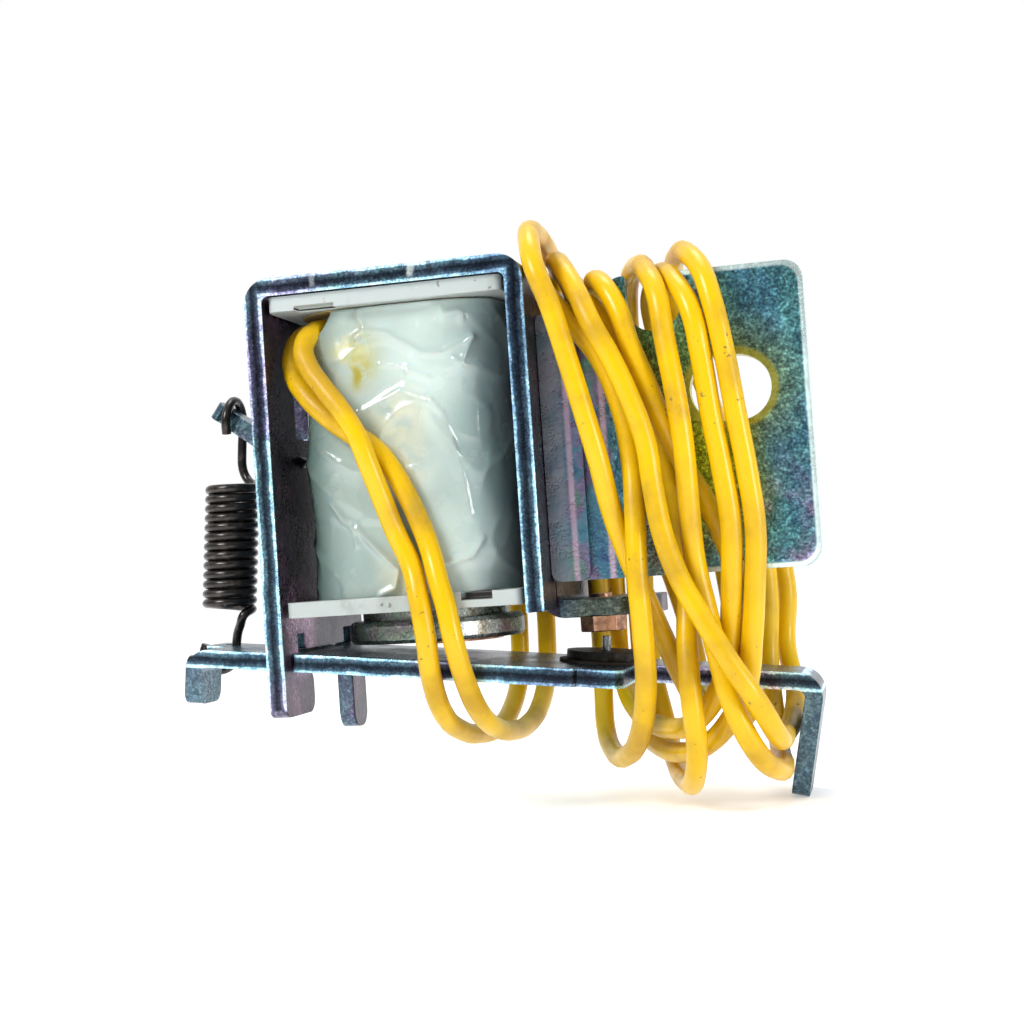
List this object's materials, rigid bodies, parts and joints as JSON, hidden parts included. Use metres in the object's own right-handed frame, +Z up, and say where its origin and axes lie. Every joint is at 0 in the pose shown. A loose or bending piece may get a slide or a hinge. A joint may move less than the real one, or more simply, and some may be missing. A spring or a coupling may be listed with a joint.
{
  "type": "push pull solenoid",
  "caption": "Open-frame AC solenoid: the coil pulls a hinged lever up to the core and a spring pulls it back, moving a bent end tab; hangs from a slotted plate.",
  "frame": {"origin": "middle of the mounting slot, on the plate's back face, which lies against the machine's panel", "axes": "+Z runs up along the core, +X runs from the return spring to the free edge of the mounting plate, +Y points from the open front of the coil to its back"},
  "size_m": [0.0886, 0.0413, 0.0787],
  "materials": {
    "frame": "zinc plated with an iridescent passivate",
    "mounting_bracket": "zinc plated with an iridescent passivate",
    "bracket_rivets": "zinc plated",
    "core": "turned and plated",
    "shading_ring": "bare copper",
    "bobbin": "moulded nylon",
    "winding": "enamelled copper wire",
    "coil_wrap": "thin glossy tape",
    "lead_splices": "sleeved crimp",
    "lever": "zinc plated with an iridescent passivate",
    "return_spring": "dark oiled music wire",
    "stop_screw": "copper-coloured plating",
    "bumper_washer": "fibre disc",
    "bumper_pad": "matt rubber",
    "bumper_rivet": "plain steel",
    "lead_a": "extruded insulation",
    "lead_b": "extruded insulation",
    "lead_hank": "extruded insulation"
  },
  "bodies": {
    "coil_assembly": {"frame": "frame", "mounting_bracket": "mounting_bracket", "bracket_rivets": "bracket_rivets", "core": "core", "shading_ring": "shading_ring", "bobbin": "bobbin", "winding": "winding", "coil_wrap": "coil_wrap", "lead_splices": "lead_splices", "return_spring": "return_spring", "stop_screw": "stop_screw", "lead_a": "lead_a", "lead_b": "lead_b", "lead_hank": "lead_hank"},
    "armature": {"lever": "lever", "bumper_washer": "bumper_washer", "bumper_pad": "bumper_pad", "bumper_rivet": "bumper_rivet"}
  },
  "joints": [
    {"name": "lever_swing", "type": "hinge", "parent": "coil_assembly", "child": "armature", "pos_m": [-0.0633, 0.0079, -0.0307], "axis": [0, -1, 0], "range_deg": [0, 3.3], "stiffness_Nm_per_rad": 0.9, "springref_deg": -3.44, "deforming": ["return_spring"]}
  ]
}
